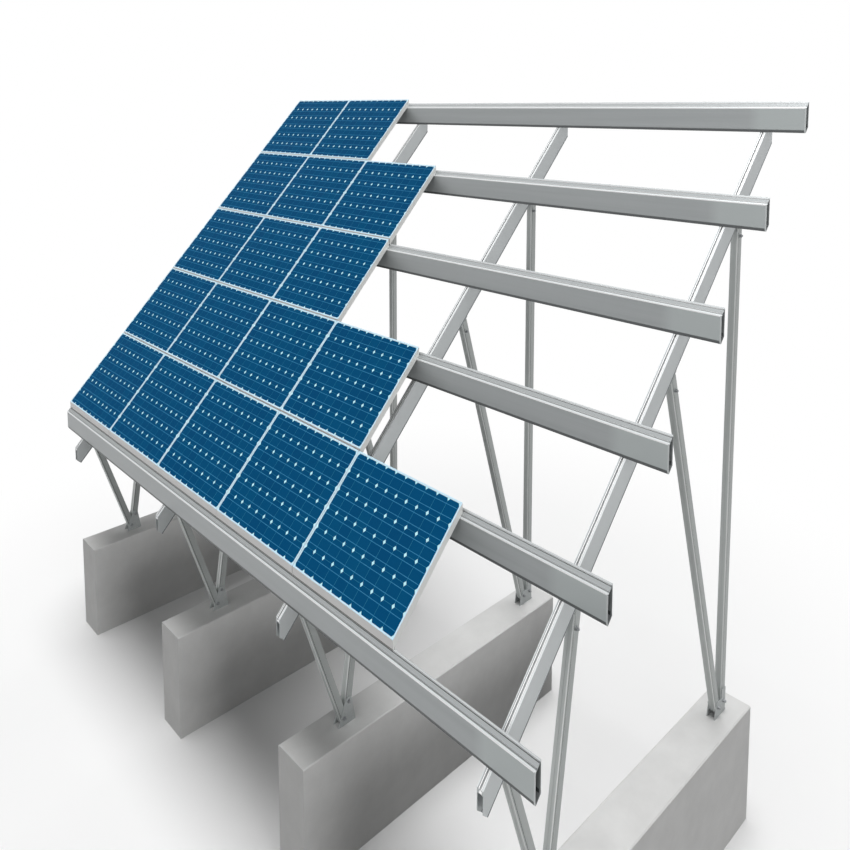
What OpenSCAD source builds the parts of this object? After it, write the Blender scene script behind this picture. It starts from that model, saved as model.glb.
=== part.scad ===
// Ground-mounted solar panel rack: strip footings, braced supports, sloping rafters, purlin rails and framed panels.
// X runs along the rails, Y up the slope in plan, Z up. The origin is at the middle of the footprint, on the ground.

/* [Whole rack] */
// Slope of the panel plane, degrees
tilt = 47; // [40:1:54]
// Number of supports along the rack
supports = 4; // [2:1:4]
// Distance from the rails' left end to the first support
support_inset = 536; // [300:2:600]
// Distance from the last support to the rails' right end
support_end = 409; // [300:1:600]
// Number of rows of panels
rows = 5; // [5:1:5]

/* [Panels] */
// Distance from one panel to the next along X
panel_pitch_x = 1400; // [1300:5:1450]
// Distance from one row to the next up the slope
panel_pitch_s = 1182; // [1100:2:1200]
// Gap between neighbouring panels of a row
panel_gap_x = 6; // [2:1:30]
// Gap between one row and the next
panel_gap_s = 20; // [10:1:40]
// Plumb height of a panel frame
frame_h = 88; // [60:1:110]
// Wall of the frame extrusion
frame_wall = 3; // [2:0.5:5]
// Width of the frame's lip over the glass
frame_lip = 14; // [10:1:20]
// Width of the frame's foot flange
frame_foot = 34; // [25:1:45]
// Plumb thickness of the glass and cell laminate
laminate_t = 8; // [6:0.5:12]
// Free space round the laminate in its groove
laminate_fit = 0.5; // [0.3:0.1:1]
// Joint left between the frame's mitred members
mitre_gap = 0.3; // [0.2:0.1:0.8]

/* [Rails] */
// Width of a rail's top face, measured up the slope
rail_w = 84; // [60:1:100]
// Plumb depth of a rail
rail_h = 248; // [200:1:300]
// Wall of the rail extrusion
rail_wall = 4; // [3:0.5:6]
// How far the rails run past the first panel's left edge
rail_overhang = 0; // [0:5:50]
// Length of every rail
rail_len = 8460; // [8300:10:8600]
// Offset of a rail's middle down from the lower edge of its row
rail_offset = 24; // [10:1:30]
// Width of each slot in the rail's top
rail_slot = 9; // [6:0.5:12]
// Depth of each slot in the rail's top
rail_slot_d = 6; // [4:1:24]
// Height of the thicker band along a rail's lower edge
rail_bead_h = 22; // [14:1:30]
// How far that band stands proud of the web
rail_bead = 3; // [2:0.5:5]
// How far the foot of the front web is set back
rail_step = 8; // [4:1:12]

/* [Rafters] */
// Width of a rafter
rafter_w = 60; // [54:1:70]
// Depth of a rafter, square to its length
rafter_h = 187; // [150:1:210]
// Wall of the rafter extrusion
rafter_wall = 5; // [4:0.5:8]
// Opening of the slot along the rafter's top
rafter_slot = 16; // [12:1:20]
// Width of the slot below its opening
rafter_slot_in = 30; // [24:1:36]
// Depth of that wider part
rafter_slot_d = 14; // [10:1:20]
// Thickness of the lips over the slot
rafter_lip = 6; // [4:0.5:8]
// Plan distance from the panels' lower edge out to the rafter's low end
rafter_low = 130; // [100:5:200]
// How far the rafters run past the top rail's middle, in plan
rafter_over = 126; // [110:2:200]

/* [Struts and legs] */
// Width of a strut along X
strut_w = 70; // [60:1:80]
// Depth of a strut in the plane of its support
strut_d = 80; // [70:1:90]
// Wall of the strut channel
strut_wall = 5; // [4:0.5:7]
// Distance of a strut's side groove from its front edge
strut_groove_at = 12; // [8:1:30]
// Width of the grooves along a strut
strut_groove = 8; // [5:1:12]
// Depth of the grooves along a strut
strut_groove_d = 2.5; // [1:0.5:3]
// Length of strut past the middle of its cross bolt
strut_tail = 42; // [34:1:55]
// Plan position of the front strut's top bolt
front_top_y = 170; // [120:5:220]
// Plan position of the mid strut's top bolt
mid_top_y = 915; // [860:5:980]
// Plan position of the diagonal brace's top bolt
brace_top_y = 2330; // [2200:5:2450]
// Plan position of the upright rear leg
rear_y = 3482; // [3450:2:3540]
// Plan position of the front strut's lower bolt
front_low_y = 585; // [560:5:600]
// Plan position of the mid strut's lower bolt
mid_low_y = 642; // [640:2:700]
// Plan position of the brace's lower bolt
brace_low_y = 3372; // [3300:2:3378]
// Height of the lowest cross bolts above the footing
low_bolt_z = 76; // [70:2:110]
// Height of the mid strut's lower bolt above the footing
mid_bolt_z = 228; // [200:2:280]
// Height of the rear leg's lower bolt above the footing
leg_bolt_z = 120; // [90:2:160]
// Distance of the top bolts below the rafter, square to it
pin_drop = 108; // [90:2:130]

/* [Brackets and fasteners] */
// Free space on each side of a strut inside its bracket
ear_fit = 0.5; // [0.3:0.1:1]
// Thickness of the bracket ears
ear_t = 8; // [6:0.5:12]
// Radius of the rounded end of an ear
ear_r = 40; // [34:1:48]
// Diameter of the cross bolts
bolt_d = 20; // [16:1:24]
// Free space round a bolt in its hole
bolt_fit = 0.5; // [0.3:0.1:1]
// Depth of the feet's tangs in the concrete
anchor_depth = 180; // [120:5:240]
// Length of a front foot's ears along Y
front_foot_l = 230; // [200:5:300]
// Length of a rear foot's ears along Y
rear_foot_l = 270; // [230:5:340]
// Height of the plate beside a rear leg above its bolt
leg_plate = 130; // [60:5:160]
// Thickness of the rail cleats
cleat_t = 8; // [6:0.5:12]
// Width of a rail cleat along X
cleat_w = 56; // [40:1:60]
// Height of a cleat's upright leg
cleat_h = 120; // [80:2:160]
// Length of a cleat's foot up the slope
cleat_foot = 92; // [70:2:110]
// Diameter of the cleat bolts
cleat_bolt_d = 12; // [10:1:14]

/* [Footings] */
// Width of a footing along X
footing_w = 417; // [380:1:460]
// Height of a footing
footing_h = 1246; // [1100:2:1400]
// Plan distance from the panels' lower edge out to the footing's front
footing_front = 20; // [0:5:60]
// Plan distance from the panels' lower edge to the footing's back
footing_back = 3750; // [3700:5:3900]
// Height of the panels' lower edge above the footings
clear_h = 1915; // [1700:5:2200]
// Chamfer along the footing's edges
footing_chamfer = 10; // [4:1:20]

/* [Hidden] */
c = cos(tilt);
s = sin(tilt);
panel_w = panel_pitch_x - panel_gap_x;
panel_l = panel_pitch_s - panel_gap_s;
row_counts = [5, 4, 3, 3, 2];
row_starts = [for (r = [0 : rows]) r == 0 ? 0 : panels_before(r)];
ground_z = -(clear_h + footing_h);
centre_x = rail_len / 2 - rail_overhang;
rafter_high = (rows * panel_pitch_s - rail_offset) * c + rafter_over;
support_pitch = (rail_len - support_inset - support_end) / (supports - 1);
centre_y = (rafter_high - rafter_low) / 2;
rail_v = frame_h;
rafter_v = frame_h + rail_h;
under_v = rafter_v + rafter_h / c;
pin_v = under_v + pin_drop / c;
ear_in = strut_w / 2 + ear_fit;
foot_z = -clear_h;
nut_t = 16;
head_t = 13;
washer_t = 4;
washer_r = 20;
hex_r = 17;
bolt_hole = bolt_d + 2 * bolt_fit;
tang_x = ear_in + ear_t / 2;
tang_inset = 25;
hole_reach = 3 * strut_w;
strut_end_gap = 1;
clevis_l = 150;
clevis_t = 8;
clevis_x = strut_w / 2 - strut_wall - ear_fit - ear_t / 2;
box_w = 130;
box_l = 150;
box_h = 26;

// Number of panels in the rows below row r
function panels_before(r) = r == 0 ? 0 : row_counts[r - 1] + panels_before(r - 1);

// Plan and height of a point at distance p up the slope and plumb depth v below the panels' top plane
function at(p, v) = [p * c, p * s - v];

// Place of a top bolt at plan position y, on the line that lies pin_drop below the rafters
function top_pin(y) = [y, y * s / c - pin_v];

front_low = [front_low_y, foot_z + low_bolt_z];
mid_low = [mid_low_y, foot_z + mid_bolt_z];
brace_low = [brace_low_y, foot_z + low_bolt_z + 30];
leg_low = [rear_y, foot_z + leg_bolt_z];
leg_top = top_pin(rear_y);

// Moves its children from the panels' lower left corner to the rack's own frame
module rack() {
    translate([-centre_x, -centre_y, -ground_z]) children();
}

// Moves its children to support k
module support(k) {
    rack() translate([support_inset - rail_overhang + k * support_pitch, 0, 0]) children();
}

// Extrudes a side outline, drawn as plan distance and height, over x0 to x1
module side_extrude(x0, x1) {
    translate([x0, 0, 0]) rotate([90, 0, 90]) linear_extrude(x1 - x0) children();
}

// A slab between two plumb depths, with plumb ends
module slab(x0, x1, p0, p1, v0, v1) {
    side_extrude(x0, x1) polygon([at(p0, v0), at(p0, v1), at(p1, v1), at(p1, v0)]);
}

// A straight hole along X through everything near it
module cross_hole(p, d) {
    translate([-hole_reach, p[0], p[1]]) rotate([0, 90, 0]) cylinder(d = d, h = 2 * hole_reach, $fn = 32);
}

// Outline of a strut: a hollow tube with a groove along its front and its right face
module strut_outline() {
    g = strut_groove_d;
    difference() {
        square([strut_w, strut_d], center = true);
        square([strut_w - 2 * strut_wall, strut_d - 2 * strut_wall], center = true);
        translate([strut_w / 2 - g, strut_groove_at - strut_d / 2]) square([2 * g, strut_groove]);
        translate([-strut_groove / 2, -strut_d / 2 - g]) square([strut_groove, 2 * g]);
    }
}

// Turns its children's Z axis along the line from a to b, from a on
module along(a, b) {
    translate([0, a[0], a[1]]) rotate([atan2(b[1] - a[1], b[0] - a[0]) - 90, 0, 0]) children();
}

// Everything above a level near a rafter's underside, seen square to the rafter from top bolt b
module above_level(b, level) {
    translate([0, b[0], b[1]]) rotate([tilt, 0, 0]) translate([-hole_reach, -2 * hole_reach, level])
        cube([2 * hole_reach, 4 * hole_reach, 3 * hole_reach]);
}

// A strut from a foot bolt to a top bolt, cut parallel to the rafter at its top and drilled at both ends
module strut(a, b, tail) {
    difference() {
        along(a, b) translate([0, 0, -tail]) linear_extrude(norm(b - a) + tail + 3 * pin_drop) strut_outline();
        cross_hole(a, bolt_hole);
        cross_hole(b, bolt_hole);
        above_level(b, pin_drop - clevis_t - strut_end_gap);
    }
}

// Strip footing of cast concrete with the pockets that the feet's tangs fill
module footing(k) {
    color("gainsboro") support(k) difference() {
        translate([0, footing_back, ground_z]) rotate([90, 0, 0])
            linear_extrude(footing_back + footing_front) footing_section();
        for (p = foot_places()) tangs(p[0], p[1], 1);
    }
}

module footing_section() {
    w = footing_w / 2;
    k = footing_chamfer;
    polygon([[-w, 0], [w, 0], [w, footing_h - k], [w - k, footing_h], [k - w, footing_h], [-w, footing_h - k]]);
}

// Middle of each foot and its length along Y
function foot_places() = [[front_foot_y, front_foot_l], [rear_foot_y, rear_foot_l]];
front_foot_y = (front_low_y + mid_low_y) / 2 + 8;
rear_foot_y = (brace_low_y + rear_y) / 2;

// The two tangs of a foot, from their lower end to a height above the concrete
module tangs(y, len, top) {
    for (side = [-1, 1]) translate([side * tang_x, 0, 0]) side_extrude(-ear_t / 2, ear_t / 2)
        translate([y - len / 2 + tang_inset, foot_z - anchor_depth]) square([len - 2 * tang_inset, anchor_depth + top]);
}

// Rafter outline square to its length: a hollow box with a slot along its top
module rafter_outline() {
    w = rafter_w / 2;
    deck = rafter_lip + rafter_slot_d + rafter_wall;
    difference() {
        translate([-w, -rafter_h]) square([rafter_w, rafter_h]);
        translate([-rafter_slot / 2, -rafter_lip - 1]) square([rafter_slot, rafter_lip + 2]);
        translate([-rafter_slot_in / 2, -rafter_lip - rafter_slot_d]) square([rafter_slot_in, rafter_slot_d]);
        translate([rafter_wall - w, rafter_wall - rafter_h])
            square([rafter_w - 2 * rafter_wall, rafter_h - deck - rafter_wall]);
        for (side = [-1, 1]) translate([side * w - 1.5, 18 - rafter_h]) square([3, 6]);
    }
}

// Rafter with plumb-cut ends
module rafter(k) {
    reach = (rafter_high + rafter_low) / c + 4 * rafter_h;
    color("silver") support(k) intersection() {
        rotate([tilt - 90, 0, 0]) translate([0, rafter_v * c, -rafter_low / c - 2 * rafter_h])
            linear_extrude(reach) mirror([0, 1]) rafter_outline();
        translate([-rafter_w, -rafter_low, -2 * clear_h])
            cube([2 * rafter_w, rafter_high + rafter_low, 6 * clear_h]);
    }
}

// Rail outline with plumb webs, two slots in its top, a set-back front foot and a thicker back foot
module rail_outline() {
    h = rail_w / 2;
    w = rail_wall;
    b = rail_bead;
    k = rail_slot / 2;
    m = h / 2;
    e = rail_step;
    difference() {
        polygon([
            at(-h, 0), at(-h, rail_h - rail_bead_h), at(e - h, rail_h - rail_bead_h), at(e - h, rail_h),
            at(h + b, rail_h), at(h + b, rail_h - rail_bead_h), at(h, rail_h - rail_bead_h), at(h, 0)
        ]);
        polygon([
            at(w - h, rail_slot_d + w), at(w - h, rail_h - rail_bead_h - w), at(e + w - h, rail_h - rail_bead_h - w),
            at(e + w - h, rail_h - w), at(h - w, rail_h - w), at(h - w, rail_slot_d + w)
        ]);
        for (q = [-m, m]) polygon([at(q - k, -1), at(q - k, rail_slot_d), at(q + k, rail_slot_d), at(q + k, -1)]);
    }
}

module rail(j) {
    p = j * panel_pitch_s - rail_offset;
    color("lightgray") rack() translate([0, p * c, p * s - rail_v])
        side_extrude(-rail_overhang, rail_len - rail_overhang) rail_outline();
}

// A slab of the panel's outline drawn in by an inset on all four sides
module panel_slab(inset, v0, v1) {
    slab(inset, panel_w - inset, inset, panel_l - inset, v0, v1);
}

// One side of the mitred frame: 0 low, 1 right, 2 high, 3 left
module mitre(side) {
    w = panel_w;
    l = panel_l * c;
    k = 2 * frame_foot;
    g = mitre_gap;
    h = mitre_gap * c;
    lc = k * c;
    plans = [
        [[g, 0], [w - g, 0], [w - k - g, lc], [k + g, lc]],
        [[w, h], [w, l - h], [w - k, l - lc - h], [w - k, lc + h]],
        [[w - g, l], [g, l], [k + g, l - lc], [w - k - g, l - lc]],
        [[0, l - h], [0, h], [k, lc + h], [k, l - lc - h]]
    ];
    translate([0, 0, -2 * frame_h]) linear_extrude(panel_l + 4 * frame_h) polygon(plans[side]);
}

// The hollow frame ring: lip, groove for the laminate, web and foot flange
module frame_ring() {
    t = frame_wall;
    difference() {
        panel_slab(0, 0, frame_h);
        panel_slab(frame_lip, -1, t + 1);
        panel_slab(t, t, t + laminate_t + 0.2);
        panel_slab(frame_lip - 2, t + laminate_t - 1, 2 * t + laminate_t + 1);
        panel_slab(t, 2 * t + laminate_t, frame_h - t);
        panel_slab(frame_foot, frame_h - t - 1, frame_h + 1);
    }
}

module at_panel(r, i) {
    rack() translate([i * panel_pitch_x + panel_gap_x / 2, r * panel_pitch_s * c, r * panel_pitch_s * s]) children();
}

// The row and column of panel n, counted from the low left corner
function row_of(n) = max([for (r = [0 : rows - 1]) row_starts[r] <= n ? r : 0]);

module panel_frame(n) {
    r = row_of(n);
    color("ghostwhite") for (side = [0 : 3]) at_panel(r, n - row_starts[r]) intersection() {
        frame_ring();
        mitre(side);
    }
}

module laminate_row(r) {
    color("midnightblue") for (i = [0 : row_counts[r] - 1]) at_panel(r, i)
        panel_slab(frame_wall + laminate_fit, frame_wall, frame_wall + laminate_t);
}

// Junction boxes under the upper part of each panel
module junction_boxes() {
    v = frame_wall + laminate_t;
    color("dimgray") for (r = [0 : rows - 1]) for (i = [0 : row_counts[r] - 1]) at_panel(r, i)
        translate([panel_w / 2, 0, 0])
            slab(-box_w / 2, box_w / 2, panel_l - 2 * box_l, panel_l - box_l, v, v + box_h);
}

// Ear of the front foot, seen from the side, holding both strut ends
module front_ear() {
    y0 = front_foot_y - front_foot_l / 2 + 10;
    difference() {
        polygon([
            [y0, foot_z], [front_low_y - ear_r, front_low[1]], [mid_low_y - ear_r, mid_low[1] + 18],
            [mid_low_y - 18, mid_low[1] + ear_r], [mid_low_y + 18, mid_low[1] + ear_r],
            [mid_low_y + ear_r, mid_low[1] + 18], [y0 + front_foot_l - 20, foot_z]
        ]);
        translate(front_low) circle(d = bolt_hole, $fn = 32);
        translate(mid_low) circle(d = bolt_hole, $fn = 32);
    }
}

module rear_ear() {
    y0 = rear_foot_y - rear_foot_l / 2 + 10;
    top = leg_low[1] + ear_r;
    difference() {
        polygon([
            [y0, foot_z], [brace_low_y - ear_r - 8, brace_low[1] + 10],
            [brace_low_y - 12, top - 8], [brace_low_y + 12, top], [rear_y - ear_r, top],
            [rear_y - ear_r, leg_low[1] + leg_plate], [rear_y + ear_r, leg_low[1] + leg_plate],
            [rear_y + ear_r, foot_z]
        ]);
        translate(brace_low) circle(d = bolt_hole, $fn = 32);
        translate(leg_low) circle(d = bolt_hole, $fn = 32);
    }
}

// A pair of ears, each with a tang cast into the concrete
module foot_bracket(y, len) {
    for (side = [-1, 1]) translate([side * tang_x, 0, 0]) side_extrude(-ear_t / 2, ear_t / 2) children();
    tangs(y, len, ear_t);
}

module front_foot_brackets() {
    color("silver") for (k = [0 : supports - 1]) support(k) foot_bracket(front_foot_y, front_foot_l) front_ear();
}

module rear_foot_brackets() {
    color("silver") for (k = [0 : supports - 1]) support(k) foot_bracket(rear_foot_y, rear_foot_l) rear_ear();
}

// Bracket under a rafter: a plate and two ears that reach down inside the end of the strut from a to b
module clevis(a, b) {
    way = atan2(b[1] - a[1], b[0] - a[0]) - tilt;
    wide = strut_d - 2 * strut_wall - 2 * ear_fit;
    difference() {
        union() {
            difference() {
                for (side = [-1, 1]) along(b, 2 * b - a)
                    translate([side * clevis_x - ear_t / 2, -wide / 2, -ear_r]) cube([ear_t, wide, ear_r + 3 * pin_drop]);
                above_level(b, pin_drop - clevis_t / 2);
            }
            translate([0, b[0], b[1]]) rotate([tilt, 0, 0])
                translate([-rafter_w / 2, pin_drop / tan(way) - clevis_l / 2, pin_drop - clevis_t])
                    cube([rafter_w, clevis_l, clevis_t]);
        }
        cross_hole(b, bolt_hole);
    }
}

// Foot bolt and top bolt of each strut of a support
function strut_ends() = [
    [front_low, top_pin(front_top_y)], [mid_low, top_pin(mid_top_y)],
    [brace_low, top_pin(brace_top_y)], [leg_low, leg_top]
];

module rafter_clevises() {
    color("silver") for (k = [0 : supports - 1]) support(k) for (e = strut_ends()) clevis(e[0], e[1]);
}

module front_strut(k) {
    color("silver") support(k) strut(front_low, top_pin(front_top_y), strut_tail);
}

module mid_strut(k) {
    color("silver") support(k) strut(mid_low, top_pin(mid_top_y), strut_tail);
}

module rear_leg(k) {
    color("silver") support(k) strut(leg_low, leg_top, leg_bolt_z);
}

module diagonal_brace(k) {
    color("silver") support(k) strut(brace_low, top_pin(brace_top_y), strut_tail);
}

// Angle cleats that hold each rail to each rafter, on the uphill side
module rail_cleats() {
    t = cleat_t;
    color("silver") for (k = [0 : supports - 1]) support(k) for (j = [0 : rows]) at_rail_back(j) difference() {
        side_extrude(-cleat_w / 2, cleat_w / 2) polygon([
            at(0, rail_h), at(cleat_foot, rail_h), at(cleat_foot, rail_h - t), at(t / c, rail_h - t),
            at(t / c, rail_h - cleat_h), at(0, rail_h - cleat_h)
        ]);
        cleat_holes();
    }
}

// Moves its children to the back of rail j's thicker edge
module at_rail_back(j) {
    p = j * panel_pitch_s - rail_offset + rail_w / 2 + rail_bead;
    translate([0, p * c, p * s - rail_v]) children();
}

cleat_bolt_p = 60;

// Hole square to the slope through a cleat's foot
module cleat_holes() {
    q = at(cleat_bolt_p, rail_h);
    translate([0, q[0], q[1]]) rotate([tilt, 0, 0]) translate([0, 0, -cleat_t])
        cylinder(d = cleat_bolt_d + 2 * bolt_fit, h = 4 * cleat_t, $fn = 32);
}

// Hexagon bolt heads with a shank down into each rafter's slot
module cleat_bolts() {
    q = at(cleat_bolt_p, rail_h);
    seat = cleat_t * c;
    color("gainsboro") for (k = [0 : supports - 1]) support(k) for (j = [0 : rows]) at_rail_back(j)
        translate([0, q[0], q[1]]) rotate([tilt, 0, 0]) {
            translate([0, 0, seat]) cylinder(r = cleat_bolt_d, h = 8, $fn = 6);
            translate([0, 0, -rafter_lip - 3]) cylinder(d = cleat_bolt_d, h = seat + rafter_lip + 4, $fn = 24);
            translate([0, 0, -rafter_lip - 8]) cylinder(r = cleat_bolt_d, h = 8, $fn = 24);
        }
}

// Cross bolt along X through a grip of 2 * out: head, two washers, shank and nut
module cross_bolt(p, out) {
    translate([0, p[0], p[1]]) rotate([0, 90, 0]) {
        translate([0, 0, -out - washer_t]) cylinder(d = bolt_d, h = 2 * out + 2 * washer_t + nut_t + 8, $fn = 32);
        translate([0, 0, -out - washer_t - head_t]) cylinder(r = hex_r, h = head_t, $fn = 6);
        translate([0, 0, -out - washer_t]) cylinder(r = washer_r, h = washer_t, $fn = 32);
        translate([0, 0, out]) cylinder(r = washer_r, h = washer_t, $fn = 32);
        translate([0, 0, out + washer_t]) cylinder(r = hex_r, h = nut_t, $fn = 6);
    }
}

module cross_bolts() {
    color("gainsboro") for (k = [0 : supports - 1]) support(k) {
        for (e = strut_ends()) {
            cross_bolt(e[0], ear_in + ear_t);
            cross_bolt(e[1], strut_w / 2);
        }
    }
}

for (k = [0 : supports - 1]) footing(k);
for (k = [0 : supports - 1]) rafter(k);
for (j = [0 : rows]) rail(j);
for (k = [0 : supports - 1]) front_strut(k);
for (k = [0 : supports - 1]) mid_strut(k);
for (k = [0 : supports - 1]) rear_leg(k);
for (k = [0 : supports - 1]) diagonal_brace(k);
for (n = [0 : row_starts[rows] - 1]) panel_frame(n);
for (r = [0 : rows - 1]) laminate_row(r);
front_foot_brackets();
rear_foot_brackets();
rafter_clevises();
rail_cleats();
cross_bolts();
cleat_bolts();
junction_boxes();
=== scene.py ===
"""Looks of a ground-mounted solar panel rack: finishes, solar cells, studio and camera."""

import logging
import math
from dataclasses import dataclass, field
from enum import Enum

import bmesh
import bpy
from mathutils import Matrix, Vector


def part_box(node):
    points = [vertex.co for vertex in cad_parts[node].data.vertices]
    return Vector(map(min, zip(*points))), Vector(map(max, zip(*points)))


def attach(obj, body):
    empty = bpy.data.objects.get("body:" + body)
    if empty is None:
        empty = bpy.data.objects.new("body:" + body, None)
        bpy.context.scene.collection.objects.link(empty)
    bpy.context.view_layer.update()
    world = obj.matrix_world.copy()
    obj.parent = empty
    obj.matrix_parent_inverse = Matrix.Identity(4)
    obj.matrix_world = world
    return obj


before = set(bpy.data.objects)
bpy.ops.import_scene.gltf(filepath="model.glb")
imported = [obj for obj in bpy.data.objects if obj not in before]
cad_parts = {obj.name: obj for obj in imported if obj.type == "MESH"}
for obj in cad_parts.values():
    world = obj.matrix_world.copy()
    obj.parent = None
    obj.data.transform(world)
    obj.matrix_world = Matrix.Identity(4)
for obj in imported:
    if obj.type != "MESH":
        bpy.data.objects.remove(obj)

log = logging.getLogger("solar_rack")
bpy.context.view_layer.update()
MM = 0.001
TILT = math.radians(47)
# Metres: past the end of a rail, and past every face of the rack.
PAST_END, FAR = 9.0, 99.0
# Most values of a noise lie between these two.
GRAIN_SPAN = (0.3, 0.7)
# Cosines of the angle to a direction, between which a face starts to count as looking that way.
FACING_SPAN = (0.9, 0.98)


class Facing(Enum):
    """Directions in which the rack's faces look."""

    FRONT = (0.0, -1.0, 0.0)
    RIGHT = (1.0, 0.0, 0.0)
    SKYWARD = (0.0, -math.sin(TILT), math.cos(TILT))


def linear(hex_colour: str) -> tuple[float, float, float, float]:
    """Turns an sRGB hex colour into linear RGBA.

    Args:
        hex_colour: six hex digits after a hash.

    Returns:
        Linear red, green and blue, with alpha 1.
    """
    parts = [int(hex_colour[i:i + 2], 16) / 255 for i in (1, 3, 5)]
    return tuple(p / 12.92 if p <= 0.04045 else ((p + 0.055) / 1.055) ** 2.4 for p in parts) + (1.0,)


def reach(name: str, direction: tuple[float, float, float]) -> float:
    """Measures how far a CAD node reaches in one direction.

    Args:
        name: the node's name.
        direction: direction of the measure.

    Returns:
        The farthest corner's distance from the origin, in metres.
    """
    made = bpy.data.objects[name]
    return max(Vector(direction).dot(made.matrix_world @ v.co) for v in made.data.vertices)


def front_of(name: str) -> tuple[float, float, float]:
    """Finds which way a sloping member's front face looks.

    Args:
        name: the member's name.

    Returns:
        The normal of its largest face that looks to the front.
    """
    faces = [p for p in bpy.data.objects[name].data.polygons if p.normal.y < -0.3 and abs(p.normal.x) < 0.01]
    return tuple(max(faces, key=lambda p: p.area).normal)


def node(tree: bpy.types.NodeTree, kind: str, settings: dict | None = None, **links: object) -> bpy.types.Node:
    """Adds one node with its settings, socket values and links.

    Args:
        tree: node tree that gets the node.
        kind: Blender's name of the node type.
        settings: attributes of the node itself.
        links: value or output socket for each input, named with underscores for spaces, or by number as in _0.

    Returns:
        The new node.
    """
    made = tree.nodes.new(kind)
    for name, value in (settings or {}).items():
        setattr(made, name, value)
    for name, value in links.items():
        key = int(name[1:]) if name[0] == "_" else name.replace("_", " ")
        socket = made.inputs[key]
        if isinstance(value, bpy.types.NodeSocket):
            tree.links.new(value, socket)
        else:
            socket.default_value = value
    return made


def ramp(tree: bpy.types.NodeTree, source: bpy.types.NodeSocket,
         stops: list[tuple[float, str]]) -> bpy.types.NodeSocket:
    """Adds a colour ramp.

    Args:
        tree: node tree that gets the ramp.
        source: value that drives it.
        stops: position and hex colour of each stop.

    Returns:
        The ramp's colour output.
    """
    made = node(tree, "ShaderNodeValToRGB", Fac=source)
    elements = made.color_ramp.elements
    while len(elements) < len(stops):
        elements.new(0.5)
    for element, (place, colour) in zip(elements, stops):
        element.position, element.color = place, linear(colour)
    return made.outputs["Color"]


@dataclass
class RackLayout:
    """Sizes that the scene repeats from the rack, in metres."""

    tilt: float = TILT
    pitch_x: float = 1.4
    pitch_s: float = 1.182
    gap_x: float = 0.006
    gap_s: float = 0.020
    frame_lip: float = 0.014
    glass_inset: float = 0.0035
    glass_top: float = 0.003
    glass_thick: float = 0.008
    counts: tuple[int, ...] = (5, 4, 3, 3, 2)

    def corner(self) -> Vector:
        """Finds the low left corner of the first panel's top from its laminate's box.

        Returns:
            The corner, in metres.
        """
        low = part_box("laminate_row_1")[0]
        slope = Vector((0, math.cos(self.tilt), math.sin(self.tilt)))
        inset = Vector((self.glass_inset, 0, 0)) + slope * self.glass_inset
        return low - inset + Vector((0, 0, self.glass_top + self.glass_thick))

    def panel_corners(self) -> list[Vector]:
        """Finds each panel's low left corner on the plane of the frames' tops.

        Returns:
            One point for each panel, row by row.
        """
        up = Vector((0, math.cos(self.tilt), math.sin(self.tilt))) * self.pitch_s
        start = self.corner()
        return [start + Vector((i * self.pitch_x, 0, 0)) + up * r
                for r, n in enumerate(self.counts) for i in range(n)]


@dataclass(frozen=True)
class Finish:
    """A procedural finish, named for the real material."""

    name: str
    dark: str
    light: str
    metallic: float
    roughness: float
    grain_mm: float
    stretch: tuple[float, float, float] = (1.0, 1.0, 1.0)
    bump_mm: float = 0.0
    rough_spread: float = 0.06
    specular: float = 0.5
    bump_strength: float = 0.6

    def build(self) -> bpy.types.Material:
        """Builds the material.

        Returns:
            A node material whose pattern lies on Object coordinates.
        """
        mat = bpy.data.materials.new(self.name)
        mat.use_nodes = True
        tree = mat.node_tree
        tree.nodes.clear()
        place = node(tree, "ShaderNodeTexCoord").outputs["Object"]
        laid = node(tree, "ShaderNodeMapping", Vector=place, Scale=self.stretch).outputs["Vector"]
        scale = 1 / (self.grain_mm * MM)
        grain = node(tree, "ShaderNodeTexNoise", Vector=laid, Scale=scale, Detail=4.0, Roughness=0.6).outputs["Fac"]
        first, last = GRAIN_SPAN
        colour = ramp(tree, grain, [(first, self.dark), (last, self.light)])
        low, high = self.roughness - self.rough_spread, self.roughness + self.rough_spread
        rough = node(tree, "ShaderNodeMapRange", Value=grain, From_Min=first, From_Max=last, To_Min=low, To_Max=high)
        shader = node(tree, "ShaderNodeBsdfPrincipled", Base_Color=colour, Metallic=self.metallic,
                      Roughness=rough.outputs["Result"], Specular_IOR_Level=self.specular)
        if self.bump_mm:
            bump = node(tree, "ShaderNodeBump", Height=grain, Distance=self.bump_mm * MM, Strength=self.bump_strength)
            tree.links.new(bump.outputs["Normal"], shader.inputs["Normal"])
        end = node(tree, "ShaderNodeOutputMaterial")
        tree.links.new(shader.outputs["BSDF"], end.inputs["Surface"])
        self.refine(tree, shader, place)
        return mat

    def refine(self, tree: bpy.types.NodeTree, shader: bpy.types.Node, place: bpy.types.NodeSocket) -> None:
        """Adds nothing further: the plain finish is complete."""


# Cut and bent plate of the brackets: an even satin grey. Its rolling texture is about 1 mm in the real plate, which is
# too fine to show, and is drawn at 20 mm.
PLATE_ALUMINIUM = Finish("bent_aluminium_plate", "#A6AAAA", "#B4B8B8", 0.45, 0.45, 20.0)
# Zinc-plated steel bolts: bright, with a slight cloudiness at 6 mm, about a third of a bolt head.
ZINC_STEEL = Finish("zinc_plated_steel", "#8C8E90", "#B0B2B4", 0.9, 0.35, 6.0)
# Moulded black polymer of the junction boxes: low sheen over an eroded grain, which is about 0.3 mm in the real
# moulding and drawn at 1.5 mm.
BLACK_POLYMER = Finish("black_polymer", "#0B0B0C", "#151516", 0.0, 0.5, 1.5, bump_mm=0.05)
# The narrow gap round each cell, seen through the glass as a paler blue line that drifts in tone along a panel.
CELL_GAP = Finish("glazed_cell_gap", "#2C7A9A", "#3484A4", 0.0, 0.55, 300.0, specular=0.02)
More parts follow.
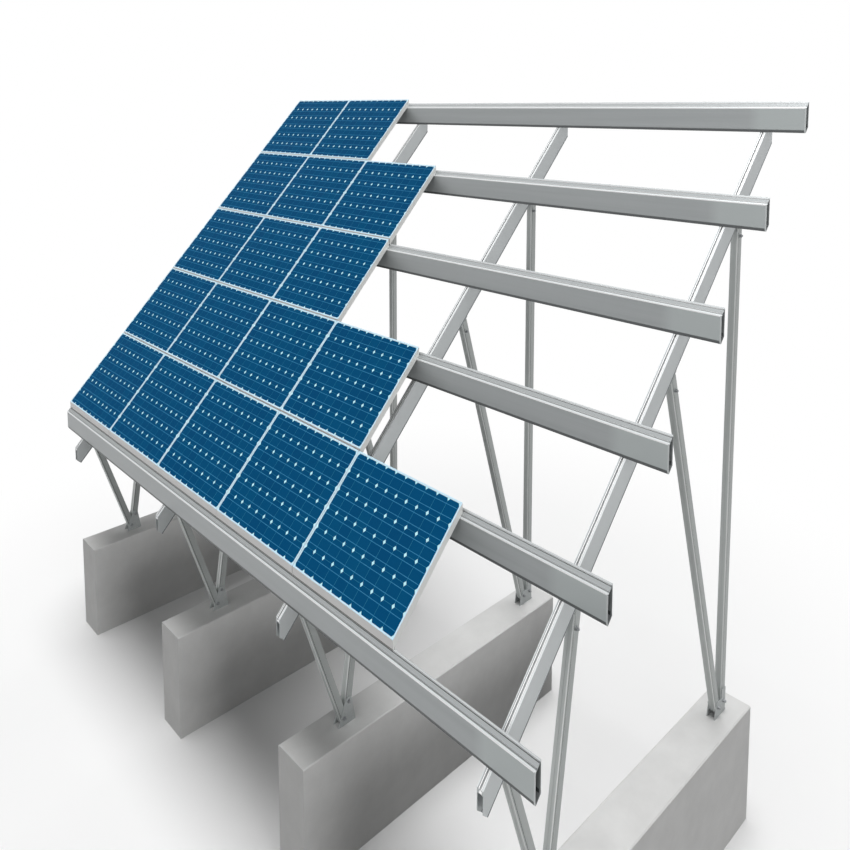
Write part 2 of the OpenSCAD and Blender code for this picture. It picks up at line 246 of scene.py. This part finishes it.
# Tinned copper ribbon under the glass: a dull pale blue line, with solder waves at 30 mm.
RIBBON = Finish("tinned_copper_ribbon", "#307DA9", "#3D8AB5", 0.1, 0.55, 30.0, specular=0.02)


@dataclass(frozen=True)
class Stripe:
    """A stripe along a member, measured across it from a start, on the faces that look one way."""

    colour: str
    across: tuple[float, float, float]
    start: float
    low: float
    high: float
    facing: tuple[float, float, float]
    blur: float = 0.001
    repeat: float = 0.0

    def mask(self, tree: bpy.types.NodeTree, place: bpy.types.NodeSocket) -> bpy.types.NodeSocket:
        """Builds the stripe's mask.

        Args:
            tree: the material's node tree.
            place: Object coordinates.

        Returns:
            A value that is 1 on the stripe and 0 off it.
        """
        far = node(tree, "ShaderNodeVectorMath", {"operation": "DOT_PRODUCT"}, _0=place, _1=self.across)
        gap = node(tree, "ShaderNodeMath", {"operation": "SUBTRACT"}, _0=far.outputs["Value"], _1=self.start)
        if self.repeat:
            gap = node(tree, "ShaderNodeMath", {"operation": "WRAP"}, _0=gap.outputs["Value"], _1=self.repeat / 2,
                       _2=-self.repeat / 2)
        middle, half = (self.low + self.high) / 2, (self.high - self.low) / 2
        off = node(tree, "ShaderNodeMath", {"operation": "SUBTRACT"}, _0=gap.outputs["Value"], _1=middle)
        size = node(tree, "ShaderNodeMath", {"operation": "ABSOLUTE"}, _0=off.outputs["Value"])
        inside = node(tree, "ShaderNodeMapRange", Value=size.outputs["Value"], From_Min=half - self.blur,
                      From_Max=half + self.blur, To_Min=1.0, To_Max=0.0)
        normal = node(tree, "ShaderNodeNewGeometry").outputs["Normal"]
        turned = node(tree, "ShaderNodeVectorMath", {"operation": "DOT_PRODUCT"}, _0=normal, _1=self.facing)
        looks = node(tree, "ShaderNodeMapRange", Value=turned.outputs["Value"], From_Min=FACING_SPAN[0],
                     From_Max=FACING_SPAN[1])
        both = node(tree, "ShaderNodeMath", {"operation": "MULTIPLY"}, _0=inside.outputs["Result"],
                    _1=looks.outputs["Result"])
        return both.outputs["Value"]


@dataclass(frozen=True)
class StripedFinish(Finish):
    """Finish with stripes of painted light and shade: painted highlights on corners, painted shade in grooves, and
    separate tones painted per facing.
    """

    stripes: tuple[Stripe, ...] = ()

    def refine(self, tree: bpy.types.NodeTree, shader: bpy.types.Node, place: bpy.types.NodeSocket) -> None:
        """Lays the stripes over the colour, one after another.

        Args:
            tree: the material's node tree.
            shader: its Principled shader.
            place: Object coordinates.
        """
        colour = shader.inputs["Base Color"].links[0].from_socket
        for stripe in self.stripes:
            colour = node(tree, "ShaderNodeMix", {"data_type": "RGBA"}, _0=stripe.mask(tree, place), _6=colour,
                          _7=linear(stripe.colour)).outputs[2]
        tree.links.new(colour, shader.inputs["Base Color"])


@dataclass(frozen=True)
class SiliconFinish(Finish):
    """Silicon under toughened glass: deep blue that drifts a little from cell to cell."""

    other: str = "#084974"

    def refine(self, tree: bpy.types.NodeTree, shader: bpy.types.Node, place: bpy.types.NodeSocket) -> None:
        """Shifts each cell's colour by a random share.

        Args:
            tree: the material's node tree.
            shader: its Principled shader.
            place: Object coordinates; not used.
        """
        share = node(tree, "ShaderNodeNewGeometry").outputs["Random Per Island"]
        even = shader.inputs["Base Color"].links[0].from_socket
        mixed = node(tree, "ShaderNodeMix", {"data_type": "RGBA"}, _0=share, _6=linear(self.other), _7=even)
        tree.links.new(mixed.outputs[2], shader.inputs["Base Color"])


@dataclass(frozen=True)
class ConcreteFinish(Finish):
    """Cast concrete: cloudy greys at 300 mm, with fine pores."""

    pore_mm: float = 36.0
    pit_reach: float = 0.16
    pit_mm: float = 1.0
    pit_strength: float = 0.3

    def refine(self, tree: bpy.types.NodeTree, shader: bpy.types.Node, place: bpy.types.NodeSocket) -> None:
        """Adds fine pores to the surface.

        Args:
            tree: the material's node tree.
            shader: its Principled shader.
            place: Object coordinates.
        """
        pores = node(tree, "ShaderNodeTexVoronoi", {"feature": "F1"}, Vector=place, Scale=1 / (self.pore_mm * MM))
        pits = node(tree, "ShaderNodeMapRange", Value=pores.outputs["Distance"], From_Max=self.pit_reach)
        bump = node(tree, "ShaderNodeBump", Height=pits.outputs["Result"], Distance=self.pit_mm * MM,
                    Strength=self.pit_strength)
        tree.links.new(bump.outputs["Normal"], shader.inputs["Normal"])


X_AXIS = (1.0, 0.0, 0.0)
PLUMB = (0.0, math.tan(TILT), -1.0)
UP_SLOPE = (0.0, math.cos(TILT), math.sin(TILT))
RAIL_TOP = -reach("rail_1", (0.0, -math.tan(TILT), 1.0))
RAIL_END = reach("rail_1", X_AXIS)
RAIL_EDGE = Vector(UP_SLOPE).dot((0.0, 1.0, math.tan(TILT))) * -reach("rail_1", (0.0, -1.0, 0.0)) \
    - math.sin(TILT) * RAIL_TOP
RAIL_PITCH = RackLayout.pitch_s
SUPPORT_X = (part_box("rafter_1")[0].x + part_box("rafter_1")[1].x) / 2
SUPPORT_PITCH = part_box("rafter_2")[0].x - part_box("rafter_1")[0].x
UNDERSIDE = -reach("rafter_1", (0.0, math.sin(TILT), -math.cos(TILT)))
FRONT, RIGHT, SKYWARD = (way.value for way in Facing)


def whole(colour: str, facing: tuple[float, float, float]) -> Stripe:
    """Describes a stripe that covers every face that looks one way.

    Args:
        colour: its colour.
        facing: the way the faces look.

    Returns:
        The stripe.
    """
    return Stripe(colour, X_AXIS, RAIL_END, -FAR, FAR, facing)


def on_rail_top(colour: str, low: float, high: float) -> Stripe:
    """Describes a stripe on the top of every rail.

    Args:
        colour: its colour.
        low: distance of its front side from the rail's front corner.
        high: distance of its back side.

    Returns:
        The stripe.
    """
    return Stripe(colour, UP_SLOPE, RAIL_EDGE, low, high, SKYWARD, 0.001, RAIL_PITCH)


# Mill-finish extruded aluminium: satin webs with faint die lines along the rail. The stripes paint light and shade on
# it:
# a painted reflection that makes the last half metre of the front face paler, a top painted darker than the webs as
# painted shade, two grooves in painted shade between strips with a painted highlight, a painted highlight along the
# front corner, painted shade along the foot, and a brighter strip of the front face at the sawn end. The real die
# lines are about 1 mm apart, too fine to show, and are drawn at 60 mm. Stripes are in metres.
RAIL_ALUMINIUM = StripedFinish(
    "mill_aluminium_rail", "#A6AAAB", "#AFB3B4", 0.5, 0.38, 60.0, (0.02, 1.0, 1.0), stripes=(
        Stripe("#B6BCBC", X_AXIS, RAIL_END, -0.50, PAST_END, FRONT, 0.06),
        whole("#A4A8A9", SKYWARD),
        on_rail_top("#D6DADB", -0.002, 0.012), on_rail_top("#75797B", 0.016, 0.026),
        on_rail_top("#484B4D", 0.058, 0.068), on_rail_top("#C2C6C7", 0.070, 0.090),
        Stripe("#FFFFFF", PLUMB, RAIL_TOP, -1.0, 0.009, FRONT),
        Stripe("#626566", PLUMB, RAIL_TOP, 0.214, 1.0, FRONT, 0.003),
        Stripe("#C9CDCD", X_AXIS, RAIL_END, -0.012, PAST_END, FRONT)))
# The same alloy with the die lines up the slope. Its stripes paint light and shade: a top painted darker than the
# sides, a painted highlight over the middle of the top and its slot, two more painted highlights on the top beside it,
# and painted shade along the lower corner of the right side.
RAFTER_ALUMINIUM = StripedFinish(
    "mill_aluminium_rafter", "#BBBFC0", "#C7CBCC", 0.5, 0.38, 50.0, (1.0, 0.05, 0.05), stripes=(
        whole("#A2A6A8", SKYWARD),
        Stripe("#FFFFFF", X_AXIS, SUPPORT_X, -0.015, 0.015, SKYWARD, 0.001, SUPPORT_PITCH),
        Stripe("#E2E6E7", X_AXIS, SUPPORT_X, 0.017, 0.040, SKYWARD, 0.002, SUPPORT_PITCH),
        Stripe("#E2E6E7", X_AXIS, SUPPORT_X, -0.040, -0.023, SKYWARD, 0.002, SUPPORT_PITCH),
        Stripe("#7A7E80", SKYWARD, UNDERSIDE, -1.0, 0.014, RIGHT, 0.004)))
# Back sheet behind the cells: bluish through the glass at the cells' cut corners, plain white from behind.
BACK_SHEET = StripedFinish("white_back_sheet", "#DDDEDD", "#E6E7E6", 0.0, 0.45, 200.0, specular=0.2,
                           stripes=(whole("#C4F5FF", SKYWARD),))
# Clear anodised frame of the panels: satin sides, with lit and shaded tones painted per face: paler front and
# right faces, painted shade along the foot of the front face, and the lip's top painted nearly white with a blue cast
# as a painted highlight.
FRAME_ALUMINIUM = StripedFinish(
    "anodised_frame_aluminium", "#CECCCA", "#D6D4D2", 0.1, 0.42, 90.0, stripes=(
        whole("#EFEEED", FRONT), whole("#EDEEEC", RIGHT),
        Stripe("#8F8D8B", PLUMB, RAIL_TOP, -0.010, 0.010, FRONT, 0.002),
        whole("#CFEEFF", SKYWARD)))


def tube_finish(kind: str) -> StripedFinish:
    """Describes the drawn tube of one kind of strut: right faces in painted shade, a painted highlight on the front
    corner, and painted shade in the groove beside it.

    Args:
        kind: name of the struts, without their number.

    Returns:
        The finish, with its stripes placed from the first strut's front face.
    """
    front = front_of(kind + "_1")
    back = tuple(-v for v in front)
    return StripedFinish(
        "drawn_aluminium_" + kind, "#B8BCBB", "#C3C7C6", 0.45, 0.42, 40.0, (1.0, 0.3, 0.05), stripes=(
            whole("#ABAFAE", RIGHT),
            Stripe("#EDEFEE", X_AXIS, SUPPORT_X, 0.025, 0.040, front, 0.002, SUPPORT_PITCH),
            Stripe("#6E7271", back, -reach(kind + "_1", front), 0.012, 0.020, RIGHT, 0.002)))


# Monocrystalline cells: one crystal each, so a deep even blue without flakes that drifts a little from cell to cell.
SILICON = SiliconFinish("monocrystalline_silicon", "#074C78", "#095079", 0.0, 0.55, 500.0, specular=0.02)
# Concrete struck from smooth forms: matt, pale and soft, cloudy at 300 mm. The real pores are about 5 mm, too fine to
# show, and are drawn at 36 mm.
CONCRETE = ConcreteFinish("cast_concrete", "#D6D6D5", "#DFDFDE", 0.0, 0.85, 300.0, specular=0.2)


@dataclass
class SolarCells:
    """The blue cells and the ribbons that join them, laid under each panel's glass."""

    layout: RackLayout
    columns: int = 10
    rows: int = 6
    margin: float = 0.002
    gap: float = 0.0035
    chamfer: float = 0.12
    ribbon_w: float = 0.0055
    lift: float = 0.0005
    finishes: tuple[Finish, Finish, Finish] = (CELL_GAP, SILICON, RIBBON)

    def field_size(self) -> tuple[float, float]:
        """Gives the clear glass inside the frame's lips, less the margin.

        Returns:
            Its size along X and up the slope, in metres.
        """
        lay = self.layout
        wide = lay.pitch_x - lay.gap_x - 2 * lay.frame_lip - 2 * self.margin
        return wide, lay.pitch_s - lay.gap_s - 2 * lay.frame_lip - 2 * self.margin

    def cell_mesh(self, gap: float) -> bpy.types.Mesh:
        """Builds one cell: a rectangle with its four corners cut.

        Args:
            gap: distance to the next cell.

        Returns:
            A mesh of one eight-sided face, looking up.
        """
        wide, tall = self.field_size()
        px, ps = wide / self.columns, tall / self.rows
        hx, hs = (px - gap) / 2, (ps - gap) / 2
        cx, cs = px * self.chamfer, ps * self.chamfer
        ring = [(hx - cx, -hs), (hx, cs - hs), (hx, hs - cs), (hx - cx, hs),
                (cx - hx, hs), (-hx, hs - cs), (-hx, cs - hs), (cx - hx, -hs)]
        mesh = bpy.data.meshes.new("cell")
        mesh.from_pydata([(x, s, 0) for x, s in ring], [], [tuple(range(8))])
        return mesh

    def ribbon_mesh(self) -> bpy.types.Mesh:
        """Builds one pair of ribbons that crosses a panel along X.

        Returns:
            A mesh of two flat strips, looking up.
        """
        wide, tall = self.field_size()
        ps, h = tall / self.rows, self.ribbon_w / 2
        verts, faces = [], []
        for middle in (-ps / 4, ps / 4):
            n = len(verts)
            verts += [(-wide / 2, middle - h, 0), (wide / 2, middle - h, 0),
                      (wide / 2, middle + h, 0), (-wide / 2, middle + h, 0)]
            faces.append((n, n + 1, n + 2, n + 3))
        mesh = bpy.data.meshes.new("ribbon_pair")
        mesh.from_pydata(verts, [], faces)
        return mesh

    def tree(self, name: str, finish: bpy.types.Material) -> tuple[bpy.types.NodeTree, dict[str, str]]:
        """Builds the tree that lays a piece on a grid in every panel.

        Args:
            name: name of the tree.
            finish: material of the laid pieces.

        Returns:
            The tree, and the identifier of each named input.
        """
        tree = bpy.data.node_groups.new(name, "GeometryNodeTree")
        face = tree.interface
        face.new_socket(name="Panels", in_out="INPUT", socket_type="NodeSocketGeometry")
        face.new_socket(name="Laid", in_out="OUTPUT", socket_type="NodeSocketGeometry")
        kinds = {"Piece": "NodeSocketObject", "Columns": "NodeSocketInt", "Rows": "NodeSocketInt",
                 "Width": "NodeSocketFloat", "Height": "NodeSocketFloat", "Middle": "NodeSocketVector",
                 "Tilt": "NodeSocketVector"}
        keys = {n: face.new_socket(name=n, in_out="INPUT", socket_type=k).identifier for n, k in kinds.items()}
        start = tree.nodes.new("NodeGroupInput")
        grid = node(tree, "GeometryNodeMeshGrid", Size_X=start.outputs["Width"], Size_Y=start.outputs["Height"],
                    Vertices_X=start.outputs["Columns"], Vertices_Y=start.outputs["Rows"])
        moved = node(tree, "GeometryNodeTransform", Geometry=grid.outputs["Mesh"], Translation=start.outputs["Middle"])
        piece = node(tree, "GeometryNodeObjectInfo", Object=start.outputs["Piece"])
        laid = node(tree, "GeometryNodeInstanceOnPoints", Points=moved.outputs["Geometry"],
                    Instance=piece.outputs["Geometry"])
        panel = node(tree, "GeometryNodeRealizeInstances", Geometry=laid.outputs["Instances"])
        every = node(tree, "GeometryNodeInstanceOnPoints", Points=start.outputs["Panels"],
                     Instance=panel.outputs["Geometry"], Rotation=start.outputs["Tilt"])
        real = node(tree, "GeometryNodeRealizeInstances", Geometry=every.outputs["Instances"])
        dressed = node(tree, "GeometryNodeSetMaterial", Geometry=real.outputs["Geometry"], Material=finish)
        end = tree.nodes.new("NodeGroupOutput")
        tree.links.new(dressed.outputs["Geometry"], end.inputs["Laid"])
        return tree, keys

    def lay(self, name: str, piece: bpy.types.Mesh, columns: int, rows: int, finish: Finish,
            lift: float) -> bpy.types.Object:
        """Lays a piece on a grid in every panel and keeps the result as a plain mesh.

        Args:
            name: name of the finished object.
            piece: mesh that is repeated.
            columns: pieces along X.
            rows: pieces up the slope.
            finish: finish of the pieces.
            lift: height above the laminate.

        Returns:
            The finished object.
        """
        lay = self.layout
        points = bpy.data.meshes.new(name + "_panels")
        points.from_pydata([tuple(v) for v in lay.panel_corners()], [], [])
        host = bpy.data.objects.new(name + "_host", points)
        unit = bpy.data.objects.new(name + "_unit", piece)
        bpy.context.scene.collection.objects.link(host)
        tree, keys = self.tree(name + "_layout", finish.build())
        wide, tall = self.field_size()
        middle = ((lay.pitch_x - lay.gap_x) / 2, (lay.pitch_s - lay.gap_s) / 2 - lay.glass_top * math.sin(lay.tilt),
                  lift - lay.glass_top * math.cos(lay.tilt))
        step_x, step_s = wide / self.columns, tall / self.rows
        values = {"Piece": unit, "Columns": columns, "Rows": rows, "Width": step_x * (columns - 1),
                  "Height": step_s * (rows - 1), "Middle": middle, "Tilt": (lay.tilt, 0.0, 0.0)}
        mod = host.modifiers.new("layout", "NODES")
        mod.node_group = tree
        for key, value in values.items():
            mod[keys[key]] = value
        graph = bpy.context.evaluated_depsgraph_get()
        mesh = bpy.data.meshes.new_from_object(host.evaluated_get(graph))
        host.modifiers.remove(mod)
        mesh.name = name
        made = bpy.data.objects.new(name, mesh)
        bpy.context.scene.collection.objects.link(made)
        for old in (host, unit):
            bpy.data.objects.remove(old)
        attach(made, "root")
        log.info("%s: %d faces", name, len(mesh.polygons))
        return made

    def build(self) -> None:
        """Lays the cells and the ribbons."""
        gaps, silicon, ribbon = self.finishes
        self.lay("cell_gaps", self.cell_mesh(0.0), self.columns, self.rows, gaps, self.lift)
        self.lay("solar_cells", self.cell_mesh(self.gap), self.columns, self.rows, silicon, 2 * self.lift)
        self.lay("cell_ribbons", self.ribbon_mesh(), 1, self.rows, ribbon, 3 * self.lift)


@dataclass
class NodeFinishes:
    """Dresses each CAD node with its finish."""

    by_prefix: dict[str, Finish] = field(default_factory=lambda: {
        "footing": CONCRETE, "rafter_clevises": PLATE_ALUMINIUM, "rafter": RAFTER_ALUMINIUM,
        "rail_cleats": PLATE_ALUMINIUM, "rail": RAIL_ALUMINIUM, "front_foot": PLATE_ALUMINIUM,
        "rear_foot": PLATE_ALUMINIUM, "panel_frame": FRAME_ALUMINIUM,
        **{kind: tube_finish(kind) for kind in ("front_strut", "mid_strut", "rear_leg", "diagonal_brace")},
        "laminate": BACK_SHEET, "cross": ZINC_STEEL, "cleat": ZINC_STEEL,
        "junction": BLACK_POLYMER,
    })

    def dress(self) -> None:
        """Assigns one built material per finish to the slots of every CAD node's object."""
        built: dict[str, bpy.types.Material] = {}
        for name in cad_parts:
            prefix = next(p for p in self.by_prefix if name.startswith(p))
            finish = self.by_prefix[prefix]
            if finish.name not in built:
                built[finish.name] = finish.build()
            for slot in bpy.data.objects[name].material_slots:
                slot.material = built[finish.name]
            log.info("%s: dressed in %s", name, finish.name)
        log.info("dressed %d nodes in %d finishes", len(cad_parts), len(built))


@dataclass(frozen=True)
class Lamp:
    """A broad soft light from one side."""

    name: str
    towards: tuple[float, float, float]
    strength: float
    width: float

    def build(self) -> None:
        """Adds the lamp to the scene as a sun that is as many degrees wide."""
        data = bpy.data.lights.new(self.name, "SUN")
        data.energy, data.angle = self.strength, math.radians(self.width)
        made = bpy.data.objects.new(self.name, data)
        made.rotation_mode = "QUATERNION"
        made.rotation_quaternion = Vector(self.towards).to_track_quat("Z", "Y")
        bpy.context.scene.collection.objects.link(made)


@dataclass
class Studio:
    """Pale floor far round the rack, a plain white room, and soft lamps overhead and from the sides."""

    half: float = 60.0
    floor: str = "#F0F0F0"
    shade: str = "#808080"
    ambient: float = 0.0
    sheen: float = 0.94
    fade: tuple[float, float] = (3.5, 9.0)
    lamps: tuple[Lamp, ...] = (
        Lamp("overhead", (0.0, 0.0, 1.0), 2.55, 30.0),
        Lamp("left", (-0.6, 0.0, 1.0), 0.36, 60.0),
        Lamp("right", (1.0, -0.1, 0.15), 0.90, 25.0),
        Lamp("front", (-0.1, -1.0, 0.3), 0.30, 40.0),
        Lamp("front_right", (0.6, -1.0, 0.4), 0.47, 40.0),
        Lamp("back", (-0.4, 1.0, 0.12), 0.6, 30.0))

    def build(self) -> None:
        """Makes the floor, the room's light and the lamps."""
        mesh = bpy.data.meshes.new("floor")
        shape = bmesh.new()
        bmesh.ops.create_grid(shape, x_segments=1, y_segments=1, size=self.half)
        shape.to_mesh(mesh)
        shape.free()
        floor = bpy.data.objects.new("studio_floor", mesh)
        bpy.context.scene.collection.objects.link(floor)
        mesh.materials.append(self.floor_material())
        world = bpy.data.worlds.new("white_room")
        bpy.context.scene.world = world
        world.use_nodes = True
        tree = world.node_tree
        tree.nodes.clear()
        ray = node(tree, "ShaderNodeLightPath").outputs
        seen = node(tree, "ShaderNodeMapRange", Value=ray["Is Camera Ray"], To_Min=self.ambient, To_Max=1.0)
        shiny = node(tree, "ShaderNodeMath", {"operation": "MULTIPLY_ADD"}, _0=ray["Is Glossy Ray"],
                     _1=self.sheen - self.ambient, _2=seen.outputs["Result"])
        glow = node(tree, "ShaderNodeBackground", Color=(1, 1, 1, 1), Strength=shiny.outputs["Value"])
        end = node(tree, "ShaderNodeOutputWorld")
        tree.links.new(glow.outputs["Background"], end.inputs["Surface"])
        for lamp in self.lamps:
            lamp.build()

    def floor_material(self) -> bpy.types.Material:
        """Builds a matt white floor that throws less light back than it shows, and turns into the white room far off.

        Returns:
            The floor's material.
        """
        mat = bpy.data.materials.new("matt_studio_floor")
        mat.use_nodes = True
        tree = mat.node_tree
        tree.nodes.clear()
        ray = node(tree, "ShaderNodeLightPath").outputs
        mixed = node(tree, "ShaderNodeMix", {"data_type": "RGBA"}, _0=ray["Is Diffuse Ray"],
                     _6=linear(self.floor), _7=linear(self.shade))
        shader = node(tree, "ShaderNodeBsdfDiffuse", Color=mixed.outputs[2])
        place = node(tree, "ShaderNodeTexCoord").outputs["Object"]
        far = node(tree, "ShaderNodeVectorMath", {"operation": "LENGTH"}, _0=place)
        faded = node(tree, "ShaderNodeMapRange", {"interpolation_type": "SMOOTHSTEP"}, Value=far.outputs["Value"],
                     From_Min=self.fade[0], From_Max=self.fade[1])
        seen = node(tree, "ShaderNodeMath", {"operation": "MULTIPLY"}, _0=faded.outputs["Result"],
                    _1=ray["Is Camera Ray"])
        white = node(tree, "ShaderNodeEmission")
        both = node(tree, "ShaderNodeMixShader", _0=seen.outputs["Value"], _1=shader.outputs["BSDF"],
                    _2=white.outputs["Emission"])
        end = node(tree, "ShaderNodeOutputMaterial")
        tree.links.new(both.outputs["Shader"], end.inputs["Surface"])
        return mat


@dataclass
class PhotoCamera:
    """Camera at the photograph's place, fitted to the panels' corners."""

    place: tuple[float, float, float] = (7.1748, -5.8504, 7.3511)
    azimuth: float = 46.41
    elevation: float = 5.279
    focal_px: float = 786.0
    centre_px: tuple[float, float] = (425.0, 180.0)
    image_px: float = 850.0
    sensor_mm: float = 36.0
    clip: tuple[float, float] = (0.1, 300.0)

    def build(self) -> None:
        """Makes the camera and gives it to the scene."""
        data = bpy.data.cameras.new("photo_camera")
        data.sensor_width = self.sensor_mm
        data.lens = self.focal_px * self.sensor_mm / self.image_px
        data.shift_x = -(self.centre_px[0] - self.image_px / 2) / self.image_px
        data.shift_y = (self.centre_px[1] - self.image_px / 2) / self.image_px
        data.clip_start, data.clip_end = self.clip
        made = bpy.data.objects.new("photo_camera", data)
        az, el = math.radians(self.azimuth), math.radians(self.elevation)
        back = Vector((math.sin(az) * math.cos(el), -math.cos(az) * math.cos(el), math.sin(el)))
        made.location = self.place
        made.rotation_mode = "QUATERNION"
        made.rotation_quaternion = (-back).to_track_quat("-Z", "Y")
        bpy.context.scene.collection.objects.link(made)
        bpy.context.scene.camera = made


def main() -> None:
    """Builds the camera, the looks and the studio in order."""
    logging.basicConfig(level=logging.INFO, format="%(name)s: %(message)s")
    view = bpy.context.scene.view_settings
    view.view_transform, view.look, view.exposure, view.gamma = "Standard", "None", 0.0, 1.0
    PhotoCamera().build()
    log.info("camera placed")
    NodeFinishes().dress()
    SolarCells(RackLayout()).build()
    Studio().build()
    log.info("studio built")


if __name__ == "__main__":
    main()
